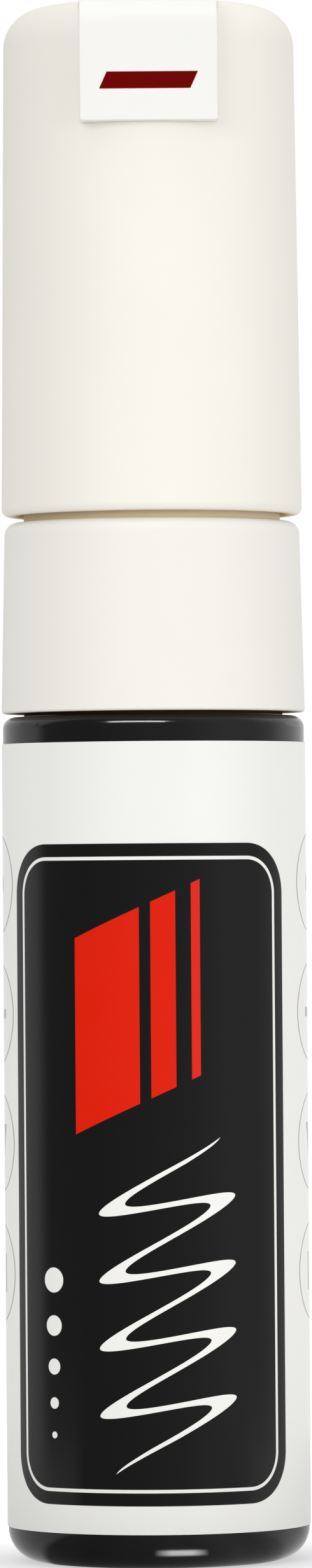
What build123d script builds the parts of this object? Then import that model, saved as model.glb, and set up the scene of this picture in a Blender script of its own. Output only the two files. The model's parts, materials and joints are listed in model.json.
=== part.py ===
from build123d import *
import os
from math import cos, pi, sin, sqrt

# A pump-action chalk marker, standing on its rear end with the cap on.
# Lengths are in millimetres. The origin is the centre of the rear end, +Z runs
# along the axis to the top of the cap, and the tab on the cap faces -Y.

# Fits and finish shared by the pieces
press_clearance = 0.05      # between pieces that are pushed together and stay
slide_clearance = 0.12      # between pieces that slide along each other
overrun = 1.0               # how far a cut runs past the face that it opens
fillet_share = 0.9          # most of the room at an edge that its fillet may take

# Barrel: a blow-moulded ink reservoir with a snap neck
barrel_diameter = 26.8
barrel_height = 75.0        # rear end to shoulder
barrel_wall = 1.4
barrel_floor = 1.8
base_fillet = 3.0
base_recess_diameter = 16.0
base_recess_depth = 0.4
floor_fillet = 1.6
shoulder_width = 1.9
shoulder_fillet = 1.05
neck_wall = 1.3
neck_bead_rise = 0.3
neck_bead_height = 1.2
neck_bead_lift = 6.0        # shoulder to the middle of the bead

# Label: a film sleeve on a layer of adhesive
adhesive_thickness = 0.02
label_thickness = 0.08
label_rear_margin = 3.15    # bare barrel below the label
label_front_margin = 2.4    # bare barrel between label and shoulder

# Fore barrel: a skirt over the neck, and a spigot that takes the cap
skirt_gap = 0.33            # shoulder to skirt
skirt_height = 16.97
skirt_lower_wall = 1.95
skirt_upper_wall = 1.55
skirt_edge_fillet = 0.25
collar_plate = 1.8          # thickness of the plate between skirt and spigot
collar_step = 1.7           # collar's rim to spigot
collar_fillet = 1.1
spigot_height = 9.5
bore_step = 0.6             # neck's bore to the spigot's bore
spigot_fillet = 0.5
spigot_bead_rise = 0.2
spigot_bead_height = 1.2
spigot_bead_lift = 6.5      # collar's top to the middle of the bead

# Gasket between the neck's end and the collar's plate
gasket_thickness = 1.0

# Nib: a broad felt chisel
nib_width = 8.0
nib_thickness = 5.0
nib_corner = 1.4
nib_reach = 8.5             # how far it stands out of the holder
nib_bevel_drop = 3.6        # height lost from the long edge to the short one
nib_edge_width = 1.0        # flat left along the long edge
nib_edge_fillet = 0.4
nib_end_chamfer = 0.5
nib_travel = 2.5            # how far it is pressed in to open the valve
nib_float = 0.5             # room left behind the nib when it is fully pressed

# Nib holder: a nozzle with a tube that hangs in the spigot's bore
holder_wall = 1.5
holder_flange = 1.2         # thickness of the flange on the spigot's end
holder_flange_inset = 0.4   # spigot's rim to the flange's rim
land_height = 4.0           # straight band that the inner cap seals on
cone_height = 9.5
nose_wall = 1.9             # least wall round the nib at the mouth
flange_fillet = 0.5
nose_fillet = 0.6
cone_fillet = 1.5
chamber_gap = 0.8           # ink space round the rear of the nib
vent_width = 1.4            # air groove on each broad side of the nib
vent_depth = 0.5
seat_depth = 4.8            # spigot's end down to the valve seat
tube_depth = 9.0            # valve seat down to the tube's end

# Valve: an elastomer seat, a stem with a flat head, a housing, a spring and its retainer
seat_thickness = 1.5
stem_diameter = 3.2
stem_flow_gap = 1.0         # ink passage round the stem in the seat
valve_head_land = 1.5       # how far the head overlaps the seat's hole
valve_head_height = 2.0
rod_diameter = 3.0
rod_overhang = 0.5          # rod's end below the retainer
stem_chamfer = 0.4
housing_wall = 1.2
housing_height = 20.0
housing_flange = 1.2
window_count = 4
window_width = 3.0
window_margin = 1.5         # wall left between a window and the plug or the flange
retainer_flange = 1.2
retainer_plug = 2.5
ink_hole_count = 6
ink_hole_share = 0.41       # of the plug's width outside the spring
spring_wire = 0.5
spring_gap = 0.35           # rod to the inside of the coil
spring_seat_gap = 0.05
spring_turns = 8
arcs_per_turn = 4           # each quarter turn is a pair of tangent arcs

# Mixing ball, loose in the reservoir
ball_diameter = 6.0
ball_rest_gap = 0.05

# Cap: a drawn-in shell with a socket for the inner cap
cap_gap = 0.6               # collar's top to the cap's lip
cap_height = 45.19
cap_wall = 1.62
cap_bead_gap = 0.15         # spigot's bead to the cap's bore
cap_draft = 0.48            # radius lost from lip to top
cap_top_wall = 1.8
cap_top_fillet = 3.5
cap_inner_fillet = 0.7
cap_lip_fillet = 0.65
cap_mouth_fillet = 0.4
socket_depth = 8.0
socket_wall = 0.9
rib_count = 6
rib_thickness = 1.2

# Inner cap: a soft cup that closes over the holder's land
inner_cap_gap = 1.8         # cap's bore at its ceiling to the cup
inner_wall = 0.9
inner_top_wall = 1.0
inner_lift = 0.4            # holder's flange to the cup's mouth
inner_mouth_fillet = 0.3
inner_top_fillet = 2.0

# Tab: an L-shaped plate let into the cap's top and front
clip_width = 12.1
clip_height = 11.1
clip_stand = 1.1            # how far its face stands out of the cap's top edge
clip_arm_thickness = 0.9
clip_arm_length = 15.0      # from its face to the end of the arm
clip_bend = 2.4
clip_edge_fillet = 0.12
clip_corner_fillet = 0.2
peg_diameter = 2.0
peg_spacing = 7.0
peg_inset = 2.5             # arm's end to the pegs

# Radii that pieces share
barrel_radius = barrel_diameter / 2
barrel_bore = barrel_radius - barrel_wall
neck_radius = barrel_radius - shoulder_width
neck_bore = neck_radius - neck_wall
skirt_bore = neck_radius + press_clearance
collar_radius = skirt_bore + skirt_upper_wall
spigot_radius = collar_radius - collar_step
spigot_bore = neck_bore - bore_step
holder_radius = spigot_bore - press_clearance
holder_bore = holder_radius - holder_wall
nib_corner_x = nib_width / 2 - nib_corner
nib_corner_y = nib_thickness / 2 - nib_corner
nib_corner_radius = sqrt(nib_corner_x ** 2 + nib_corner_y ** 2) + nib_corner
mouth_radius = nib_corner_radius + slide_clearance + nose_wall
stem_radius = stem_diameter / 2
seat_bore = stem_radius + stem_flow_gap
valve_head_radius = seat_bore + valve_head_land
housing_radius = holder_bore - press_clearance
housing_bore = housing_radius - housing_wall
rod_radius = rod_diameter / 2
spring_radius = rod_radius + spring_gap + spring_wire / 2
cap_bore = spigot_radius + spigot_bead_rise + cap_bead_gap
lip_radius = cap_bore + cap_wall
crown_radius = lip_radius - cap_draft
ceiling_radius = cap_bore - cap_draft
inner_radius = ceiling_radius - inner_cap_gap
inner_bore = inner_radius - inner_wall
socket_bore = inner_radius + press_clearance
land_radius = inner_bore - slide_clearance
clip_front = crown_radius + clip_stand

# Levels that pieces share, from the rear end up
skirt_level = barrel_height + skirt_gap
collar_level = skirt_level + skirt_height
plate_level = collar_level - collar_plate
neck_level = plate_level - gasket_thickness
neck_bead_level = barrel_height + neck_bead_lift
spigot_level = collar_level + spigot_height
land_level = spigot_level + holder_flange
cone_level = land_level + land_height
mouth_level = cone_level + cone_height
tip_level = mouth_level + nib_reach
seat_level = spigot_level - seat_depth
seat_base = seat_level - seat_thickness
nib_level = seat_level + nib_travel + nib_float
tube_level = seat_level - tube_depth
valve_head_level = seat_base - valve_head_height
housing_level = seat_base - housing_height
retainer_level = housing_level - retainer_flange
plug_level = housing_level + retainer_plug
cap_level = collar_level + cap_gap
crown_level = cap_level + cap_height
ceiling_level = crown_level - cap_top_wall
inner_level = land_level + inner_lift
arm_level = crown_level - clip_arm_thickness
arm_end = clip_arm_length - clip_front
clip_level = crown_level - clip_height


def limited(fillet_radius, room):
    """A fillet held to its share of the wall or step that it has to itself."""
    return min(fillet_radius, room * fillet_share)


def turned(*corners):
    """Body of revolution about Z from (radius, level, fillet) corners in order round its outline."""
    points = [(radius, level) for radius, level, _ in corners]
    fillets = [fillet_radius for _, _, fillet_radius in corners]
    outline = FilletPolyline(*points, radius=fillets, close=True)
    return revolve(make_face(Plane.XZ * outline), Axis.Z)


def sleeve(inner, outer, bottom, top):
    """Plain ring between two radii and two levels."""
    return turned((inner, bottom, 0), (outer, bottom, 0), (outer, top, 0), (inner, top, 0))


def bead(radius, rise, level, height):
    """Ring with sloped flanks that stands out of a cylinder, with its root inside the cylinder."""
    root = radius - rise
    foot = height / 2
    crest = height / 4
    return turned(
        (root, level - foot, 0),
        (radius, level - foot, 0),
        (radius + rise, level - crest, 0),
        (radius + rise, level + crest, 0),
        (radius, level + foot, 0),
        (root, level + foot, 0),
    )


def upright(sketch, bottom, top):
    """Straight prism of a sketch between two levels."""
    return extrude(Pos(0, 0, bottom) * sketch, top - bottom)


def make_barrel():
    """Reservoir with a recessed rear end, a shoulder and a neck that carries the snap bead."""
    ceiling = barrel_height - barrel_wall
    recess_radius = base_recess_diameter / 2
    body = turned(
        (0, base_recess_depth, 0),
        (recess_radius - base_recess_depth, base_recess_depth, 0),
        (recess_radius, 0, 0),
        (barrel_radius, 0, limited(base_fillet, barrel_radius - recess_radius)),
        (barrel_radius, barrel_height, limited(shoulder_fillet, shoulder_width)),
        (neck_radius, barrel_height, 0),
        (neck_radius, neck_level, 0),
        (neck_bore, neck_level, 0),
        (neck_bore, ceiling, 0),
        (barrel_bore, ceiling, limited(shoulder_fillet, barrel_bore - neck_bore)),
        (barrel_bore, barrel_floor, limited(floor_fillet, barrel_bore)),
        (0, barrel_floor, 0),
    )
    return body + bead(neck_radius, neck_bead_rise, neck_bead_level, neck_bead_height)


def make_barrel_label():
    """Film sleeve round the barrel."""
    inner = barrel_radius + adhesive_thickness
    return sleeve(inner, inner + label_thickness, label_rear_margin, barrel_height - label_front_margin)


def make_fore_barrel():
    """Collar whose skirt snaps over the neck, with the cap's spigot on top."""
    body = turned(
        (skirt_bore, skirt_level, 0),
        (skirt_bore + skirt_lower_wall, skirt_level, limited(skirt_edge_fillet, skirt_lower_wall)),
        (collar_radius, collar_level, limited(collar_fillet, collar_step)),
        (spigot_radius, collar_level, 0),
        (spigot_radius, spigot_level, limited(spigot_fillet, spigot_radius - spigot_bore)),
        (spigot_bore, spigot_level, 0),
        (spigot_bore, plate_level, 0),
        (skirt_bore, plate_level, 0),
    )
    cap_bead = bead(spigot_radius, spigot_bead_rise, collar_level + spigot_bead_lift, spigot_bead_height)
    groove = bead(skirt_bore, neck_bead_rise, neck_bead_level, neck_bead_height + 2 * press_clearance)
    return body + cap_bead - groove


def make_neck_gasket():
    """Flat seal between the neck's end and the collar's plate."""
    return sleeve(neck_bore, neck_radius, neck_level, plate_level)


def nib_section(clearance):
    """The nib's rounded section, grown all round by a clearance."""
    grown = 2 * clearance
    return RectangleRounded(nib_width + grown, nib_thickness + grown, nib_corner + clearance)


def make_nib():
    """Felt nib with a bevelled writing end."""
    felt = upright(nib_section(0), nib_level, tip_level)
    felt = chamfer(felt.edges().group_by(Axis.Z)[0], limited(nib_end_chamfer, nib_corner))
    back = nib_thickness / 2
    rounding = limited(nib_edge_fillet, nib_edge_width / 2)
    side = FilletPolyline(
        (-back, nib_level),
        (back, nib_level),
        (back, tip_level - nib_bevel_drop),
        (nib_edge_width - back, tip_level),
        (-back, tip_level),
        radius=[0, 0, rounding, rounding, rounding],
        close=True,
    )
    return felt & extrude(make_face(Plane.YZ * side), nib_width, both=True)


def make_nib_holder():
    """Nozzle on the spigot's end, with a tube below that takes the valve."""
    flange_radius = spigot_radius - holder_flange_inset
    flange_step = min(holder_flange, flange_radius - land_radius)
    body = turned(
        (0, mouth_level, 0),
        (mouth_radius, mouth_level, limited(nose_fillet, nose_wall)),
        (land_radius, cone_level, limited(cone_fillet, land_height)),
        (land_radius, land_level, 0),
        (flange_radius, land_level, limited(flange_fillet, flange_step)),
        (flange_radius, spigot_level, 0),
        (holder_radius, spigot_level, 0),
        (holder_radius, tube_level, 0),
        (holder_bore, tube_level, 0),
        (holder_bore, seat_level, 0),
        (0, seat_level, 0),
    )
    passage = upright(nib_section(slide_clearance), seat_level - overrun, mouth_level + overrun)
    vent_span = nib_thickness + 2 * vent_depth
    vents = upright(Rectangle(vent_width, vent_span), seat_level - overrun, mouth_level + overrun)
    chamber = upright(Circle(nib_corner_radius + chamber_gap), seat_level - overrun, spigot_level)
    return body - passage - vents - chamber


def make_valve_seat():
    """Elastomer ring under the holder's inner shoulder."""
    return sleeve(seat_bore, housing_radius, seat_base, seat_level)


def make_valve_housing():
    """Flanged tube that holds the seat up, with windows for the ink."""
    flange_base = tube_level - housing_flange
    body = turned(
        (housing_bore, housing_level, 0),
        (housing_radius, housing_level, 0),
        (housing_radius, flange_base, 0),
        (holder_radius, flange_base, 0),
        (holder_radius, tube_level, 0),
        (housing_radius, tube_level, 0),
        (housing_radius, seat_base, 0),
        (housing_bore, seat_base, 0),
    )
    window_plan = Rectangle(housing_radius, window_width)
    opening = upright(window_plan, plug_level + window_margin, flange_base - window_margin)
    for place in PolarLocations(housing_radius, window_count):
        body -= place * opening
    return body


def make_valve_stem():
    """Stem through the seat to the nib, valve head under the seat, and guide rod in the retainer."""
    rod_end = retainer_level - rod_overhang
    return turned(
        (0, nib_level, 0),
        (stem_radius, nib_level, limited(stem_chamfer, stem_radius)),
        (stem_radius, seat_base, 0),
        (valve_head_radius, seat_base, 0),
        (valve_head_radius, valve_head_level, limited(stem_chamfer, valve_head_height)),
        (rod_radius, valve_head_level, 0),
        (rod_radius, rod_end, limited(stem_chamfer, rod_radius)),
        (0, rod_end, 0),
    )


def make_spring_retainer():
    """Plug in the housing's rear end, with a guide hole and a ring of ink holes."""
    plug_radius = housing_bore - press_clearance
    body = turned(
        (rod_radius + slide_clearance, retainer_level, 0),
        (housing_radius, retainer_level, 0),
        (housing_radius, housing_level, 0),
        (plug_radius, housing_level, 0),
        (plug_radius, plug_level, 0),
        (rod_radius + slide_clearance, plug_level, 0),
    )
    spring_rim = spring_radius + spring_wire / 2
    hole_diameter = (plug_radius - spring_rim) * ink_hole_share
    hole = upright(Circle(hole_diameter / 2), retainer_level - overrun, plug_level + overrun)
    for place in PolarLocations((spring_rim + plug_radius) / 2, ink_hole_count):
        body -= place * hole
    return body


def tangent_pair(start, start_way, end, end_way):
    """Two arcs, tangent to each other, that leave start and reach end along the given directions."""
    span = end - start
    across = 2 * start_way.dot(end_way) - 2
    along = 2 * span.dot(start_way + end_way)
    reach = (along - sqrt(along ** 2 - 4 * across * span.dot(span))) / (2 * across)
    first = start + start_way * reach
    second = end - end_way * reach
    middle = (first + second) / 2
    return [
        Edge.make_tangent_arc(start, start_way, middle),
        Edge.make_tangent_arc(middle, second - first, end),
    ]


def make_valve_spring():
    """Coil between the retainer's plug and the valve head, as one unbroken wire."""
    end_room = spring_seat_gap + spring_wire / 2
    bottom = plug_level + end_room
    rise = valve_head_level - end_room - bottom
    step = 2 * pi / arcs_per_turn
    count = spring_turns * arcs_per_turn
    slope = rise / (spring_turns * 2 * pi)
    points = []
    ways = []
    for number in range(count + 1):
        angle = number * step
        x = spring_radius * cos(angle)
        y = spring_radius * sin(angle)
        points.append(Vector(x, y, bottom + slope * angle))
        ways.append(Vector(-y, x, slope).normalized())
    edges = []
    for number in range(count):
        edges += tangent_pair(points[number], ways[number], points[number + 1], ways[number + 1])
    next_turn = points[arcs_per_turn:]
    least_step = min((above - below).length for below, above in zip(points, next_turn))
    print("valve_spring least gap between turns, mm:", round(least_step - spring_wire, 3))
    section = Plane(origin=points[0], z_dir=ways[0]) * Circle(spring_wire / 2)
    return sweep(section, path=Wire(edges))


def make_mixing_ball():
    """Steel ball at rest on the reservoir's floor."""
    radius = ball_diameter / 2
    return Pos(0, 0, barrel_floor + ball_rest_gap + radius) * Sphere(radius)


def cap_form(growth):
    """The cap's outer form without its hollow, grown by a clearance."""
    fillet_radius = limited(cap_top_fillet, crown_radius) + growth
    return turned(
        (0, cap_level, 0),
        (lip_radius + growth, cap_level, 0),
        (crown_radius + growth, crown_level + growth, fillet_radius),
        (0, crown_level + growth, 0),
    )


def peg_places():
    """Places of the tab's pegs, at the end of its arm."""
    return GridLocations(peg_spacing, 0, 2, 1)


def arm_bar(growth):
    """The bar of the tab's arm, from its face to its end, grown by a clearance."""
    length = clip_arm_length + 2 * growth
    middle = (arm_end - clip_front) / 2
    bar = Pos(0, middle) * Rectangle(clip_width + 2 * growth, length)
    return upright(bar, arm_level - growth, crown_level + overrun)


def make_cap_shell():
    """Drawn-in shell with a ribbed socket inside and a bed for the tab in its top."""
    body = turned(
        (cap_bore, cap_level, limited(cap_mouth_fillet, cap_wall / 2)),
        (lip_radius, cap_level, limited(cap_lip_fillet, cap_wall / 2)),
        (crown_radius, crown_level, limited(cap_top_fillet, crown_radius)),
        (0, crown_level, 0),
        (0, ceiling_level, 0),
        (ceiling_radius, ceiling_level, limited(cap_inner_fillet, ceiling_radius - socket_bore)),
    )
    socket_level = ceiling_level - socket_depth
    body += sleeve(socket_bore, socket_bore + socket_wall, socket_level, ceiling_level)
    rib_start = socket_bore + socket_wall / 2
    rib_end = ceiling_radius + cap_wall / 2
    rib_plan = Rectangle(rib_end - rib_start, rib_thickness)
    rib = upright(rib_plan, socket_level, ceiling_level)
    for place in PolarLocations((rib_start + rib_end) / 2, rib_count):
        body += place * rib
    body -= arm_bar(press_clearance)
    hole = upright(Circle(peg_diameter / 2 + press_clearance), ceiling_level - overrun, crown_level)
    for place in peg_places():
        body -= Pos(0, arm_end - peg_inset) * place * hole
    return body


def make_inner_cap():
    """Sealing cup held in the cap's socket."""
    cup_top = ceiling_level - inner_top_wall
    return turned(
        (inner_bore, inner_level, limited(inner_mouth_fillet, inner_wall / 2)),
        (inner_radius, inner_level, limited(inner_mouth_fillet, inner_wall / 2)),
        (inner_radius, ceiling_level, 0),
        (0, ceiling_level, 0),
        (0, cup_top, 0),
        (inner_bore, cup_top, limited(inner_top_fillet, inner_bore)),
    )


def make_cap_clip():
    """Tab whose face stands in front of the cap and whose arm lies flush in the cap's top."""
    outline = FilletPolyline(
        (-clip_front, clip_level),
        (-clip_front, crown_level),
        (arm_end, crown_level),
        (arm_end, clip_level),
        radius=[0, limited(clip_bend, clip_height), 0, 0],
        close=True,
    )
    block = extrude(make_face(Plane.YZ * outline), clip_width / 2, both=True)
    lower_edges = block.edges().filter_by(Axis.Y).group_by(Axis.Z)[0]
    block = fillet(lower_edges, limited(clip_corner_fillet, clip_width / 2))
    face_edges = block.faces().sort_by(Axis.Y)[0].edges().sort_by(Axis.Z)[:-1]
    block = fillet(face_edges, limited(clip_edge_fillet, clip_corner_fillet))
    tab = block - cap_form(press_clearance)
    tab += block & arm_bar(0)
    peg_top = arm_level + clip_arm_thickness / 2
    peg = upright(Circle(peg_diameter / 2), ceiling_level + press_clearance, peg_top)
    for place in peg_places():
        tab += Pos(0, arm_end - peg_inset) * place * peg
    return tab


pieces = {
    "barrel": make_barrel,
    "barrel_label": make_barrel_label,
    "fore_barrel": make_fore_barrel,
    "neck_gasket": make_neck_gasket,
    "nib_holder": make_nib_holder,
    "nib": make_nib,
    "valve_seat": make_valve_seat,
    "valve_housing": make_valve_housing,
    "valve_stem": make_valve_stem,
    "valve_spring": make_valve_spring,
    "spring_retainer": make_spring_retainer,
    "mixing_ball": make_mixing_ball,
    "cap_shell": make_cap_shell,
    "inner_cap": make_inner_cap,
    "cap_clip": make_cap_clip,
}

os.makedirs("parts", exist_ok=True)
for name, make in pieces.items():
    export_step(make(), f"parts/{name}.step")
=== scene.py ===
import json
from math import cos, pi, radians, sin

import bpy
from mathutils import Matrix, Vector, noise


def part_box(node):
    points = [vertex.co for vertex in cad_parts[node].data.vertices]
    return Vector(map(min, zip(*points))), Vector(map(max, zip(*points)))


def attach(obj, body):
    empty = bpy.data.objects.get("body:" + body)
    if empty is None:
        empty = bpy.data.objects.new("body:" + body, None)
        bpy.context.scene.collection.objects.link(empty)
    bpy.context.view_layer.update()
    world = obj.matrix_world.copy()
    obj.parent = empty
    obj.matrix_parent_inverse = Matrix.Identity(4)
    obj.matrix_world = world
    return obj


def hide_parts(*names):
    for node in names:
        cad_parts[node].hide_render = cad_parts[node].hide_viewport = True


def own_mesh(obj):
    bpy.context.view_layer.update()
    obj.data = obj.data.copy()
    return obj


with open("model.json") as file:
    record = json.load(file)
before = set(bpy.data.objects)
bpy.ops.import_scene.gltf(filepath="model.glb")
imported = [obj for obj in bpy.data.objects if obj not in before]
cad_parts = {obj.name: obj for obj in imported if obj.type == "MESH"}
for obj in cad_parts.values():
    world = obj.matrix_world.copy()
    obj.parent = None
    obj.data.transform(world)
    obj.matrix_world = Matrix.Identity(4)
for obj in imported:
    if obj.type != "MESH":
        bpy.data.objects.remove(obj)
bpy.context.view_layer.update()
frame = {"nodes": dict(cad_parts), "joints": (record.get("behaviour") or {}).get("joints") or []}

# Looks of a chalk marker that stands on its rear end with the cap on.
# Lengths are in metres, apart from the label's print, which is laid out in millimetres.
mm = 0.001
per_mm = 1000
middle_share = 0.5              # of a range, where its middle lies
noise_detail = 2.0

# Camera: a long lens, nearly level with the middle of the marker
camera_distance = 740.0 * mm
camera_height = 59.5 * mm
aim_height = 69.0 * mm
aim_side = 0.2 * mm             # the marker stands a little left of the picture's middle
camera_roll = radians(-0.43)
camera_lens = 190.6             # for a 36 mm sensor along the picture's long side
sensor_side = 36.0

# Lamps: (azimuth, elevation) in degrees from the front, distance, size and power
key_place = (-27.0, 17.0)
key_distance = 900.0 * mm
key_size = (420.0 * mm, 360.0 * mm)
key_power = 1.9
strip_place = (-14.0, 42.0)
strip_distance = 900.0 * mm
strip_size = (640.0 * mm, 210.0 * mm)
strip_power = 6.0
fill_place = (42.0, 4.0)
fill_distance = 1200.0 * mm
fill_size = (700.0 * mm, 500.0 * mm)
fill_power = 3.95
back_place = (180.0, 4.0)
back_distance = 1200.0 * mm
back_size = (700.0 * mm, 500.0 * mm)
back_power = 3.0

# Surroundings: soft light by elevation, and what glossy surfaces show by azimuth, both in degrees
full_turn = 360
half_turn = 180
sky_shares = [
    (-90, 0.00),
    (-30, 0.80),
    (0, 0.30),
    (30, 0.72),
    (90, 1.52),
]
studio_shares = [
    (-180, 0.80),
    (-102, 0.72),
    (-91, 0.15),
    (-50, 0.12),
    (0, 0.22),
    (30, 0.30),
    (58, 0.50),
    (84, 0.42),
    (104, 0.58),
    (116, 0.88),
    (138, 1.00),
    (180, 0.85),
]

# Floor: a round pale sheet that runs out into the white surroundings
floor_radius = 160.0 * mm
floor_clear = 15.0 * mm         # where it starts to turn white
floor_white = 50.0 * mm         # where it is white
floor_sides = 96
floor_lift_share = 0.55         # white added close to the marker
floor_gloss_share = 0.15        # of its own colour that gloss shows
floor_mirror_share = 0.8        # of the studio that gloss shows on it
floor_turn = 1.62               # times that the rear end's gloss looks further round than the floor
floor_glow_share = 0.59         # light that its white part gives the marker from below
floor_pitch = 20.0 * mm
floor_colour_shares = (0.98, 1.0)
floor_rough_shares = (0.85, 0.95)

# Patch of floor that only gloss shows, as a glint on the rear end's rounding, in millimetres:
# u runs round the marker from the front, v out from its axis
glint_centre = (2.4, 13.85)
glint_half = (2.0, 0.6)
glint_softness = (1.8, 0.5)     # of its ends and of its sides
glint_level = 11.0

# Moulded plastic
cloud_pitch = 9.0 * mm
cloud_shares = (0.985, 1.012)
dust_pitch = 3.2 * mm
dust_size_share = 0.03
dust_kept_share = 0.12
dust_colour_share = 0.80
sheen_pitch = 2.5 * mm
grain_pitch = 0.18 * mm
grain_depth = 0.004 * mm
sink_pitch = 14.0 * mm          # shallow waves that cooling leaves
sink_depth = 0.025 * mm
gap_shade_reach = 1.6 * mm            # width of the gaps where warm shade is painted into the plastic's colour
gap_shade_open_shares = (0.2, 0.5)    # of the sky that shows where the painted gap shade starts to fade and ends
plastic_gloss_share = 0.35      # specular level
tab_gloss_share = 0.12
satin_shares = (0.48, 0.58)
smooth_shares = (0.40, 0.50)
holder_shares = (0.36, 0.46)
valve_shares = (0.40, 0.52)
inner_cap_shares = (0.42, 0.54)

# Stroke stamped on the tab's face
stroke_width_mm = 8.0
stroke_height_mm = 1.5
stroke_rise_mm = 3.5            # tab's lower edge to the middle of the stroke
stroke_depth = 0.03 * mm
face_depth = 0.4 * mm           # how far behind the tab's face the stamp reaches
foil_rough_share = 0.22

# Blow-moulded barrel
barrel_cloud_pitch = 12.0 * mm
barrel_cloud_shares = (0.85, 1.15)
barrel_sheen_pitch = 4.0 * mm
barrel_shares = (0.09, 0.18)
barrel_wave_pitch = 10.0 * mm
barrel_wave_depth = 0.03 * mm
barrel_grain_pitch = 0.25 * mm
barrel_grain_depth = 0.001 * mm
neck_show = 0.25 * mm           # bare neck below the collar
neck_rough_share = 0.95

# Label film
film_cloud_pitch = 6.0 * mm
film_cloud_shares = (0.99, 1.01)
film_sheen_pitch = 5.0 * mm
film_gloss_share = 0.35         # specular level
film_shares = (0.13, 0.21)
film_wave_pitch = 11.0 * mm
film_wave_depth = 0.02 * mm
film_grain_pitch = 0.6 * mm
film_grain_depth = 0.0008 * mm
seam_depth = 0.02 * mm

# Label print, in millimetres: u runs round the barrel from the front, v up from the label's rear edge
print_edge = 0.05               # softness of a printed edge
nib_slant = 0.45                # slope of a chisel stroke's ends
panel_centre = (-1.0, 31.5)
panel_half = (14.2, 29.0)
panel_corner = 4.5
frame_inset = 1.3
frame_line = 0.3
bar_level = 46.5                # middle of the red bars
bar_half_length = 8.6
bar_sides = (-3.4, 1.7, 4.6)
bar_half_widths = (3.0, 1.1, 0.4)
wave_centre = (1.0, 20.0)
wave_cycles = 4.4               # up to just before a bend at each end
wave_taper = 1.1                # over which the lifted pen's stroke thins out
wave_reach = 5.0
wave_length = 5.9
wave_half_width = 1.2
wave_slant = 0.36               # slope of the nib that draws the wave
dot_side = -10.0
dot_levels = (8.6, 11.4, 14.6, 18.2, 22.2)
dot_radii = (0.3, 0.5, 0.7, 0.9, 1.1)
ring_side = 20.4
ring_levels = (57.0, 45.5, 34.0, 22.5)
ring_radius = 4.2
ring_line = 0.2
sign_size = 1.7
rule_side = (28.5, 39.0)
rule_levels = (12.0, 60.0)
rule_pitch = 2.4
rule_line = 0.42
rule_rows = 6                   # from one blank line to the next
rule_ragged = 4.0               # how much shorter a ruled line may be
rule_stride = 12.9898           # steps of a sine that looks random from line to line
rule_swing = 43.7585
seam_side = 40.4
seam_line = 0.1

# Felt nib
nib_corner = 1.4 * mm
nib_bevel_drop = 3.6 * mm
nib_edge_width = 1.0 * mm
nib_rounding = 0.45 * mm
nib_fuzz = 0.04 * mm
nib_fuzz_pitch = 0.35 * mm
nib_fuzz_stretch = 6            # the fibres run along the nib
nib_side_rings = 44
nib_round_rings = 6
nib_top_rings = 8
nib_corner_steps = 8
nib_flat_steps = 10
fibre_pitch = 0.16 * mm
fibre_shares = (1.0, 1.0, 0.06)
fibre_colour_shares = (0.86, 1.06)
fibre_depth = 0.06 * mm
felt_pitch = 0.5 * mm
felt_shares = (0.82, 0.98)
felt_sheen_share = 0.25

# Steel
steel_pitch = 0.12 * mm
steel_colour_shares = (0.92, 1.06)
steel_depth = 0.003 * mm
ball_shares = (0.10, 0.18)
ball_grain_shares = (1.0, 1.0, 1.0)
wire_shares = (0.16, 0.28)
wire_grain_shares = (1.0, 1.0, 3.0)

# Rubber seals
bloom_pitch = 1.5 * mm
bloom_colour_shares = (0.8, 1.4)
rubber_shares = (0.55, 0.75)
rubber_grain_pitch = 0.2 * mm
rubber_grain_depth = 0.006 * mm

# Valve spring
spring_wire = 0.5 * mm
spring_turns = 8
spring_steps = 40               # along each turn
wire_sides = 12

# Colours
white = (1.0, 1.0, 1.0)
cap_colour = (0.895, 0.868, 0.800)
collar_colour = (0.866, 0.850, 0.792)
# warm shade painted into the narrow gaps between the white parts
painted_gap_shade_colour = (0.860, 0.700, 0.440)
tab_colour = (0.878, 0.871, 0.843)
holder_colour = (0.870, 0.860, 0.815)
barrel_colour = (0.0060, 0.0058, 0.0055)
neck_colour = (0.0900, 0.0380, 0.0100)
paper_colour = (0.870, 0.865, 0.838)
ink_colour = (0.0062, 0.0062, 0.0062)
red_colour = (0.730, 0.012, 0.000)
foil_colour = (0.560, 0.010, 0.010)
grey_colour = (0.300, 0.300, 0.300)
felt_colour = (0.800, 0.785, 0.735)
valve_colour = (0.700, 0.698, 0.670)
inner_cap_colour = (0.780, 0.790, 0.785)
rubber_colour = (0.030, 0.030, 0.031)
steel_colour = (0.560, 0.555, 0.545)
floor_colour = (0.340, 0.340, 0.338)


class Field:
    """A number that varies over a surface. Its operators add the maths nodes that work it out."""

    def __init__(self, tree, socket):
        self.tree = tree
        self.socket = socket

    def math(self, operation, *values, clamp=False):
        node = self.tree.nodes.new("ShaderNodeMath")
        node.operation = operation
        node.use_clamp = clamp
        for socket, value in zip(node.inputs, (self, *values)):
            if isinstance(value, Field):
                self.tree.links.new(value.socket, socket)
            else:
                socket.default_value = value
        return Field(self.tree, node.outputs["Value"])

    def __add__(self, other):
        return self.math("ADD", other)

    def __sub__(self, other):
        return self.math("SUBTRACT", other)

    def __mul__(self, other):
        return self.math("MULTIPLY", other)

    def __truediv__(self, other):
        return self.math("DIVIDE", other)

    def __neg__(self):
        return self.math("MULTIPLY", -1)

    def __abs__(self):
        return self.math("ABSOLUTE")

    def most(self, other):
        return self.math("MAXIMUM", other)

    def least(self, other):
        return self.math("MINIMUM", other)

    def ranged(self, low, high):
        """A field of 0 to 1 spread over another range."""
        return self.math("MULTIPLY_ADD", high - low, low)

    def clamped(self):
        return self.math("ADD", 0, clamp=True)


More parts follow.
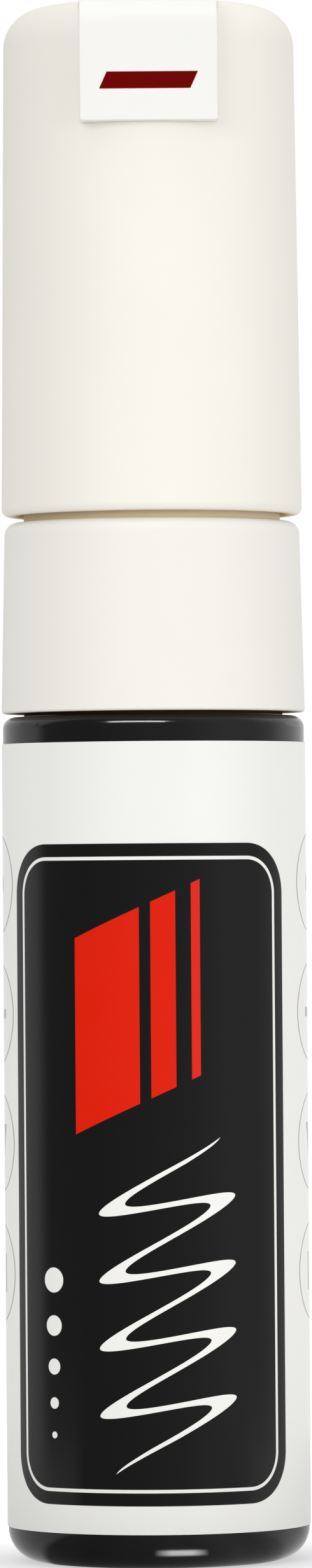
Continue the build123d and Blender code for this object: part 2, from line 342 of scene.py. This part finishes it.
class Look:
    """The node tree of one material, with short calls for the nodes that the materials share."""

    def __init__(self, name):
        self.material = bpy.data.materials.new(name)
        self.material.use_nodes = True
        self.tree = self.material.node_tree
        self.shader = self.tree.nodes["Principled BSDF"]
        self.place = self.tree.nodes.new("ShaderNodeTexCoord").outputs["Object"]

    def link(self, output, name):
        self.tree.links.new(output, self.shader.inputs[name])

    def set(self, name, value):
        self.shader.inputs[name].default_value = value

    def axes(self):
        """The three coordinates of a point, as fields."""
        node = self.tree.nodes.new("ShaderNodeSeparateXYZ")
        self.tree.links.new(self.place, node.inputs["Vector"])
        return [Field(self.tree, socket) for socket in node.outputs]

    def stretched(self, shares):
        """Coordinates stretched by a share along each axis, for a grain with a direction."""
        node = self.tree.nodes.new("ShaderNodeMapping")
        node.inputs["Scale"].default_value = shares
        self.tree.links.new(self.place, node.inputs["Vector"])
        return node.outputs["Vector"]

    def noise(self, pitch, place=None):
        """Smooth noise from 0 to 1 with blotches of about one pitch."""
        node = self.tree.nodes.new("ShaderNodeTexNoise")
        node.inputs["Scale"].default_value = 1 / pitch
        node.inputs["Detail"].default_value = noise_detail
        self.tree.links.new(place or self.place, node.inputs["Vector"])
        return Field(self.tree, node.outputs["Fac"])

    def specks(self, pitch, size_share, kept_share):
        """Small dots on a loose lattice, of which only a share is kept."""
        node = self.tree.nodes.new("ShaderNodeTexVoronoi")
        node.inputs["Scale"].default_value = 1 / pitch
        self.tree.links.new(self.place, node.inputs["Vector"])
        split = self.tree.nodes.new("ShaderNodeSeparateColor")
        self.tree.links.new(node.outputs["Color"], split.inputs["Color"])
        near = Field(self.tree, node.outputs["Distance"]).math("LESS_THAN", size_share)
        chosen = Field(self.tree, split.outputs["Red"]).math("LESS_THAN", kept_share)
        return near * chosen

    def openness(self, reach):
        """1 on open surfaces and less in gaps that are narrower than the reach."""
        node = self.tree.nodes.new("ShaderNodeAmbientOcclusion")
        node.inputs["Distance"].default_value = reach
        return Field(self.tree, node.outputs["AO"])

    def mixed(self, share, below, above):
        """Colour above laid over colour below by a share."""
        node = self.tree.nodes.new("ShaderNodeMix")
        node.data_type = "RGBA"
        self.tree.links.new(share.socket, node.inputs["Factor"])
        for name, colour in (("A", below), ("B", above)):
            socket = next(s for s in node.inputs if s.name == name and s.type == "RGBA")
            if isinstance(colour, tuple):
                socket.default_value = (*colour, 1.0)
            else:
                self.tree.links.new(colour, socket)
        return next(s for s in node.outputs if s.type == "RGBA")

    def toned(self, field, colour, shares):
        """A colour that a field takes from one share of its brightness to another."""
        low, high = shares
        return self.mixed(field, scaled(colour, low), scaled(colour, high))

    def roughen(self, field, shares):
        """Roughness that a field takes from one share to another."""
        low, high = shares
        self.link(field.ranged(low, high).socket, "Roughness")

    def bump(self, field, depth):
        """Relief of a depth on the shader's normal."""
        node = self.tree.nodes.new("ShaderNodeBump")
        node.inputs["Distance"].default_value = depth
        self.tree.links.new(field.socket, node.inputs["Height"])
        earlier = self.shader.inputs["Normal"].links
        if earlier:
            self.tree.links.new(earlier[0].from_socket, node.inputs["Normal"])
        self.link(node.outputs["Normal"], "Normal")


def scaled(colour, share):
    """A colour made darker or lighter by a share."""
    return tuple(channel * share for channel in colour)


def plastic_tint(look, colour):
    """Slight cloudiness and a few dust specks."""
    tint = look.toned(look.noise(cloud_pitch), colour, cloud_shares)
    dust = look.specks(dust_pitch, dust_size_share, dust_kept_share)
    return look.mixed(dust, tint, scaled(colour, dust_colour_share))


def plastic_relief(look):
    """Fine spark-eroded grain on shallow waves."""
    look.bump(look.noise(grain_pitch), grain_depth)
    look.bump(look.noise(sink_pitch), sink_depth)
    look.set("Specular IOR Level", plastic_gloss_share)


def moulded(name, colour, shares):
    """Satin moulded plastic."""
    look = Look(name)
    look.link(plastic_tint(look, colour), "Base Color")
    look.roughen(look.noise(sheen_pitch), shares)
    plastic_relief(look)
    return look


def gap_shaded_moulded(name, colour):
    """Satin plastic with warm shade painted into its colour in gaps narrower than the reach."""
    look = Look(name)
    tint = plastic_tint(look, colour)
    low_share, high_share = gap_shade_open_shares
    # painted shade: ambient occlusion tints the colour warm where a gap is narrow
    unshaded_share = ((look.openness(gap_shade_reach) - low_share) / (high_share - low_share)).clamped()
    look.link(look.mixed(unshaded_share, painted_gap_shade_colour, tint), "Base Color")
    look.roughen(look.noise(sheen_pitch), satin_shares)
    plastic_relief(look)
    return look


def tab_look():
    """Smooth white plastic with one slanted foil stroke stamped into the face."""
    look = Look("tab_smooth_white")
    low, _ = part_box("cap_clip")
    x, y, z = look.axes()
    across = x * per_mm
    along = (z - low.z) * per_mm - stroke_rise_mm
    edge = abs(across - along * nib_slant) - stroke_width_mm / 2
    edge = edge.most(abs(along) - stroke_height_mm / 2)
    foil = inked(edge) * y.math("LESS_THAN", low.y + face_depth)
    look.link(look.mixed(foil, plastic_tint(look, tab_colour), foil_colour), "Base Color")
    low_share, high_share = smooth_shares
    satin = look.noise(sheen_pitch).ranged(low_share, high_share)
    look.link((satin + (-satin + foil_rough_share) * foil).socket, "Roughness")
    look.link(foil.socket, "Metallic")
    plastic_relief(look)
    look.set("Specular IOR Level", tab_gloss_share)
    look.bump(-foil, stroke_depth)
    return look


def barrel_look():
    """Glossy black blow-moulded plastic, a little wavy, with a matt brownish neck."""
    look = Look("barrel_gloss_black")
    collar_low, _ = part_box("fore_barrel")
    _, _, z = look.axes()
    neck = z.math("GREATER_THAN", collar_low.z - neck_show)
    tint = look.toned(look.noise(barrel_cloud_pitch), barrel_colour, barrel_cloud_shares)
    look.link(look.mixed(neck, tint, neck_colour), "Base Color")
    low_share, high_share = barrel_shares
    gloss = look.noise(barrel_sheen_pitch).ranged(low_share, high_share)
    look.link((gloss + (-gloss + neck_rough_share) * neck).socket, "Roughness")
    look.bump(look.noise(barrel_wave_pitch), barrel_wave_depth)
    look.bump(look.noise(barrel_grain_pitch), barrel_grain_depth)
    return look


def inked(distance, edge=print_edge):
    """Cover of a shape whose edge, with a softness, lies where the distance is zero."""
    return distance.math("MULTIPLY_ADD", -1 / edge, middle_share, clamp=True)


def span(first, second):
    """Length of the vector of two fields."""
    return (first * first + second * second).math("SQRT")


def rounded_panel(u, v, centre, half, corner):
    """Distance to the edge of a panel with rounded corners."""
    across = (abs(u - centre[0]) - (half[0] - corner)).most(0.0)
    along = (abs(v - centre[1]) - (half[1] - corner)).most(0.0)
    return span(across, along) - corner


def chisel_bars(u, v):
    """Distance to the edges of upright bars with slanted ends, each finer than the one before."""
    along = abs(v - (u - panel_centre[0]) * nib_slant - bar_level) - bar_half_length
    found = None
    for side, half_width in zip(bar_sides, bar_half_widths):
        bar = (abs(u - (panel_centre[0] + side)) - half_width).most(along)
        found = found.least(bar) if found else bar
    return found


def pen_wave(u, v):
    """Distance to the edge of a wave drawn with a chisel nib, broad at its bends and fine between them."""
    across = u - wave_centre[0]
    along = v - across * wave_slant - wave_centre[1]
    path = (along * (2 * pi / wave_length)).math("SINE") * wave_reach
    beyond = abs(along) - wave_cycles * wave_length / 2
    pressed = (beyond / -wave_taper).clamped()
    return (abs(across - path) - pressed * wave_half_width).most(beyond)


def dot_row(u, v):
    """Distance to the edges of a row of dots that grow."""
    found = None
    for level, radius in zip(dot_levels, dot_radii):
        dot = span(u - dot_side, v - level) - radius
        found = found.least(dot) if found else dot
    return found


def ringed_signs(u, v):
    """Distance to the edges of the rings on each side and of the dot, bar, wedge and pair in them."""
    side = abs(u) - ring_side
    heights = [v - level for level in ring_levels]
    dot = span(side, heights[0]) - sign_size / 2
    bar = (abs(side) - sign_size).most(abs(heights[1]) - sign_size / 4)
    wedge = (abs(side) * 2 - heights[2] - sign_size).most(heights[2] - sign_size)
    pair = (abs(abs(side) - sign_size / 2) - sign_size / 4).most(abs(heights[3]) - sign_size)
    found = dot.least(bar).least(wedge).least(pair)
    for height in heights:
        found = found.least(abs(span(side, height) - ring_radius) - ring_line / 2)
    return found


def ruled_lines(u, v):
    """Distance to the edges of two columns of ruled lines at the back, which end raggedly."""
    second = u.math("LESS_THAN", 0.0)
    across = u + second * sum(rule_side)
    row = v / rule_pitch
    number = row.math("FLOOR") + second / 2
    ragged = ((number * rule_stride).math("SINE") * rule_swing).math("FRACT")
    end = ragged * rule_ragged + (rule_side[1] - rule_ragged)
    line = abs(row.math("FRACT") - middle_share) * rule_pitch - rule_line / 2
    sides = (-across + rule_side[0]).most(across - end)
    ends = (-v + rule_levels[0]).most(v - rule_levels[1])
    blank = (row.math("FLOOR") / rule_rows).math("FRACT").math("LESS_THAN", 1 / (2 * rule_rows))
    return line.most(sides).most(ends).most(blank)


def label_look():
    """Printed film: a black panel with red bars, a white wave and white dots, on a white ground."""
    look = Look("label_printed_film")
    low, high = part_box("barrel_label")
    x, y, z = look.axes()
    u = x.math("ARCTAN2", -y) * (high.x * per_mm)
    v = (z - low.z) * per_mm
    panel = rounded_panel(u, v, panel_centre, panel_half, panel_corner)
    frame_edge = abs(panel + frame_inset) - frame_line / 2
    light_ink = frame_edge.least(pen_wave(u, v)).least(dot_row(u, v))
    grey_ink = ringed_signs(u, v).least(ruled_lines(u, v))
    colour = look.toned(look.noise(film_cloud_pitch), paper_colour, film_cloud_shares)
    colour = look.mixed(inked(grey_ink), colour, grey_colour)
    colour = look.mixed(inked(panel), colour, ink_colour)
    colour = look.mixed(inked(light_ink), colour, paper_colour)
    colour = look.mixed(inked(chisel_bars(u, v)), colour, red_colour)
    look.link(colour, "Base Color")
    look.set("Specular IOR Level", film_gloss_share)
    look.roughen(look.noise(film_sheen_pitch), film_shares)
    look.bump(look.noise(film_wave_pitch), film_wave_depth)
    look.bump(look.noise(film_grain_pitch), film_grain_depth)
    look.bump(inked(abs(u - seam_side) - seam_line / 2), seam_depth)
    return look


def felt_look():
    """Bonded fibre: streaks along the nib, no gloss."""
    look = Look("nib_felt_fibre")
    fibre = look.noise(fibre_pitch, place=look.stretched(fibre_shares))
    look.link(look.toned(fibre, felt_colour, fibre_colour_shares), "Base Color")
    look.roughen(look.noise(felt_pitch), felt_shares)
    look.set("Sheen Weight", felt_sheen_share)
    look.bump(fibre, fibre_depth)
    return look


def steel_look(name, shares, grain_shares):
    """Steel with fine lines along its grain."""
    look = Look(name)
    grain = look.noise(steel_pitch, place=look.stretched(grain_shares))
    look.link(look.toned(grain, steel_colour, steel_colour_shares), "Base Color")
    look.set("Metallic", 1.0)
    look.roughen(grain, shares)
    look.bump(grain, steel_depth)
    return look


def rubber_look():
    """Matt elastomer."""
    look = Look("seal_matt_rubber")
    bloom = look.noise(bloom_pitch)
    look.link(look.toned(bloom, rubber_colour, bloom_colour_shares), "Base Color")
    look.roughen(bloom, rubber_shares)
    look.bump(look.noise(rubber_grain_pitch), rubber_grain_depth)
    return look


def dress(looks):
    """Puts the looks on the CAD nodes."""
    for name, look in looks.items():
        for slot in frame["nodes"][name].material_slots:
            slot.material = look.material


def new_piece(name, points, faces, look):
    """Smooth mesh piece with one material."""
    mesh = bpy.data.meshes.new(name)
    mesh.from_pydata(points, [], faces)
    mesh.shade_smooth()
    mesh.materials.append(look.material)
    piece = bpy.data.objects.new(name, mesh)
    bpy.context.scene.collection.objects.link(piece)
    return piece


def band(lower, upper, count):
    """Faces between two rings of points, given the index of each ring's first point."""
    faces = []
    for step in range(count):
        following = (step + 1) % count
        faces.append((lower + step, lower + following, upper + following, upper + step))
    return faces


def tube_faces(rings, count):
    """Faces of a closed tube of rings of points, with its two ends."""
    faces = []
    for number in range(rings - 1):
        faces += band(number * count, (number + 1) * count, count)
    faces.append(tuple(reversed(range(count))))
    faces.append(tuple(range((rings - 1) * count, rings * count)))
    return faces


def nib_outline(half_x, half_y):
    """Points round the nib's section, corners and flats alike divided."""
    points = []
    for turn, (sign_x, sign_y) in enumerate(((1, 1), (-1, 1), (-1, -1), (1, -1))):
        centre = Vector((sign_x * (half_x - nib_corner), sign_y * (half_y - nib_corner)))
        for step in range(nib_corner_steps + 1):
            angle = (turn + step / nib_corner_steps) * pi / 2
            points.append(centre + nib_corner * Vector((cos(angle), sin(angle))))
    outline = []
    for number, point in enumerate(points):
        outline.append(point)
        if number % (nib_corner_steps + 1) == nib_corner_steps:
            following = points[(number + 1) % len(points)]
            for step in range(1, nib_flat_steps):
                outline.append(point.lerp(following, step / nib_flat_steps))
    return outline


def fuzzed(point):
    """A point of the felt drawn in a little by fibre noise."""
    inward = -Vector((point.x, point.y, 0)).normalized()
    sample = Vector((point.x, point.y, point.z / nib_fuzz_stretch)) / nib_fuzz_pitch
    return point + inward * nib_fuzz * (1 + noise.noise(sample)) / 2


def felt_nib(look):
    """Chisel nib of felt, worn round at its edges."""
    low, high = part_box("nib")
    half_y = high.y
    outline = nib_outline(high.x, half_y)
    bevel_start = nib_edge_width - half_y

    def top(y):
        return high.z - nib_bevel_drop * max(0.0, (y - bevel_start) / (half_y - bevel_start))

    rings = []
    for number in range(nib_side_rings + 1):
        share = number / nib_side_rings
        rings.append([(p, low.z + share * (top(p.y) - nib_rounding - low.z)) for p in outline])
    for number in range(1, nib_round_rings + 1):
        angle = number / nib_round_rings * pi / 2
        share = 1 - nib_rounding * (1 - cos(angle)) / half_y
        drop = nib_rounding * (1 - sin(angle))
        rings.append([(p * share, top(p.y * share) - drop) for p in outline])
    rim_share = 1 - nib_rounding / half_y
    for number in range(1, nib_top_rings):
        share = rim_share * (1 - number / nib_top_rings)
        rings.append([(p * share, top(p.y * share)) for p in outline])
    points = []
    for ring in rings:
        points += [fuzzed(Vector((plan.x, plan.y, level))) for plan, level in ring]
    return new_piece("felt_nib", points, tube_faces(len(rings), len(outline)), look)


def coil_spring(look):
    """Open coil of round wire between the retainer and the valve's head."""
    low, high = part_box("valve_spring")
    wire = spring_wire / 2
    radius = high.x - wire
    bottom = low.z + wire
    rise = high.z - low.z - spring_wire
    count = spring_turns * spring_steps
    slope = rise / (spring_turns * 2 * pi)
    points = []
    for number in range(count + 1):
        angle = number / spring_steps * 2 * pi
        outward = Vector((cos(angle), sin(angle), 0))
        along = Vector((-sin(angle) * radius, cos(angle) * radius, slope)).normalized()
        upward = outward.cross(along)
        centre = outward * radius + Vector((0, 0, bottom + rise * number / count))
        for side in range(wire_sides):
            turn = side / wire_sides * 2 * pi
            points.append(centre + wire * (outward * cos(turn) + upward * sin(turn)))
    return new_piece("coil_spring", points, tube_faces(count + 1, wire_sides), look)


def pointed(azimuth, elevation):
    """Direction from the marker, in degrees from its front and from the horizon."""
    turn = radians(azimuth)
    lift = radians(elevation)
    return Vector((sin(turn) * cos(lift), -cos(turn) * cos(lift), sin(lift)))


def add_lamp(name, place, distance, size, power, gloss):
    """Soft rectangular lamp that faces the marker's middle and either lights it or shows in its gloss."""
    lamp = bpy.data.lights.new(name, "AREA")
    lamp.shape = "RECTANGLE"
    lamp.size, lamp.size_y = size
    lamp.energy = power
    piece = bpy.data.objects.new(name, lamp)
    direction = pointed(*place)
    piece.location = Vector((0, 0, aim_height)) + direction * distance
    piece.rotation_euler = direction.to_track_quat("Z", "Y").to_euler()
    piece.visible_camera = False
    piece.visible_diffuse = not gloss
    piece.visible_glossy = gloss
    bpy.context.scene.collection.objects.link(piece)


def ray_kinds(tree):
    """1 for camera rays, and 1 for rays from the camera, off gloss or through glass."""
    path = tree.nodes.new("ShaderNodeLightPath")
    camera = Field(tree, path.outputs["Is Camera Ray"])
    seen = camera
    for name in ("Is Glossy Ray", "Is Transmission Ray"):
        seen = seen.most(Field(tree, path.outputs[name]))
    return camera, seen


def graded(tree, angle, reach, shares):
    """Brightness by an angle in degrees, from a table of shares that covers a reach about 0."""
    ramp = tree.nodes.new("ShaderNodeValToRGB")
    tree.links.new((angle / reach + middle_share).socket, ramp.inputs["Fac"])
    stops = ramp.color_ramp.elements
    while len(stops) < len(shares):
        stops.new(1.0)
    for stop, (degrees, share) in zip(stops, shares):
        stop.position = degrees / reach + middle_share
        stop.color = (share, share, share, 1.0)
    return Field(tree, ramp.outputs["Color"])


def studio_level(tree, x, y, turn=1.0):
    """Brightness of the studio that gloss shows in the direction of x and y."""
    return graded(tree, x.math("ARCTAN2", -y).math("DEGREES") * turn, full_turn, studio_shares)


def sky_level(tree, z):
    """Brightness of the soft light from the direction whose height is z."""
    return graded(tree, z.math("ARCSINE").math("DEGREES"), half_turn, sky_shares)


def make_world():
    """White surroundings for the camera, a studio with a darker front for gloss, else soft light."""
    world = bpy.data.worlds.new("studio")
    bpy.context.scene.world = world
    world.use_nodes = True
    tree = world.node_tree
    direction = tree.nodes.new("ShaderNodeTexCoord").outputs["Generated"]
    split = tree.nodes.new("ShaderNodeSeparateXYZ")
    tree.links.new(direction, split.inputs["Vector"])
    x, y, z = [Field(tree, socket) for socket in split.outputs]
    studio = studio_level(tree, x, y)
    soft = sky_level(tree, z)
    camera, seen = ray_kinds(tree)
    level = (soft + (studio - soft) * seen).most(camera)
    background = tree.nodes["Background"]
    background.inputs["Color"].default_value = (*white, 1.0)
    tree.links.new(level.socket, background.inputs["Strength"])


def floor_glint(x, y):
    """Cover of the bright patch close in front of the rear end."""
    u = x.math("ARCTAN2", -y) * glint_centre[1]
    v = span(x, y) * per_mm
    ends = inked(abs(u - glint_centre[0]) - glint_half[0], glint_softness[0])
    sides = inked(abs(v - glint_centre[1]) - glint_half[1], glint_softness[1])
    return ends * sides


def make_floor():
    """Round pale floor that turns to plain white away from the marker."""
    look = Look("floor_pale")
    x, y, _ = look.axes()
    away = ((span(x, y) - floor_clear) / (floor_white - floor_clear)).clamped()
    camera, seen = ray_kinds(look.tree)
    gloss = seen - camera
    cloud = look.noise(floor_pitch)
    colour = look.toned(cloud, floor_colour, floor_colour_shares)
    look.link(look.mixed(gloss, colour, scaled(floor_colour, floor_gloss_share)), "Base Color")
    look.roughen(cloud, floor_rough_shares)
    look.set("Specular IOR Level", 0.0)
    look.set("Emission Color", (*white, 1.0))
    shown = camera * away.ranged(floor_lift_share, 1.0)
    mirrored = studio_level(look.tree, x, y, floor_turn) * floor_mirror_share
    mirrored = (mirrored + floor_glint(x, y) * glint_level) * gloss
    glow = away * (-seen + 1.0) * floor_glow_share
    look.link((shown + mirrored + glow).socket, "Emission Strength")
    points = []
    for step in range(floor_sides):
        angle = step / floor_sides * 2 * pi
        points.append((floor_radius * cos(angle), floor_radius * sin(angle), 0))
    floor = new_piece("floor", points, [tuple(range(floor_sides))], look)


def make_camera():
    """Camera in front of the marker, on the side of the tab."""
    lens = bpy.data.cameras.new("camera")
    lens.lens = camera_lens
    lens.sensor_width = sensor_side
    camera = bpy.data.objects.new("camera", lens)
    camera.location = (aim_side, -camera_distance, camera_height)
    sight = Vector((aim_side, 0, aim_height)) - camera.location
    turned = sight.to_track_quat("-Z", "Y").to_matrix() @ Matrix.Rotation(camera_roll, 3, "Z")
    camera.rotation_euler = turned.to_euler()
    bpy.context.scene.collection.objects.link(camera)
    bpy.context.scene.camera = camera


valve_look = moulded("valve_natural_acetal", valve_colour, valve_shares)
seal_look = rubber_look()
felt = felt_look()
wire_look = steel_look("spring_bright_wire", wire_shares, wire_grain_shares)
dress({
    "barrel": barrel_look(),
    "barrel_label": label_look(),
    "fore_barrel": gap_shaded_moulded("collar_white_gap_shade", collar_colour),
    "neck_gasket": seal_look,
    "nib_holder": moulded("holder_white", holder_colour, holder_shares),
    "nib": felt,
    "valve_seat": seal_look,
    "valve_housing": valve_look,
    "valve_stem": valve_look,
    "valve_spring": wire_look,
    "spring_retainer": valve_look,
    "mixing_ball": steel_look("ball_polished_steel", ball_shares, ball_grain_shares),
    "cap_shell": gap_shaded_moulded("cap_white_gap_shade", cap_colour),
    "inner_cap": moulded("inner_cap_soft", inner_cap_colour, inner_cap_shares),
    "cap_clip": tab_look(),
})

nib = felt_nib(felt)
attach(nib, "nib")
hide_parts("nib")

spring = coil_spring(wire_look)
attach(spring, "barrel")
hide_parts("valve_spring")
spring_low, spring_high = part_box("valve_spring")
valve_travel = next(j for j in frame["joints"] if j["name"] == "valve_open")["range_m"][1]
spring_keep = 1 - valve_travel / (spring_high.z - spring_low.z)
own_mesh(spring)

make_floor()
make_world()
add_lamp("key", key_place, key_distance, key_size, key_power, gloss=False)
add_lamp("fill", fill_place, fill_distance, fill_size, fill_power, gloss=False)
add_lamp("back", back_place, back_distance, back_size, back_power, gloss=False)
add_lamp("strip", strip_place, strip_distance, strip_size, strip_power, gloss=True)
make_camera()
bpy.context.scene.view_settings.view_transform = "Standard"
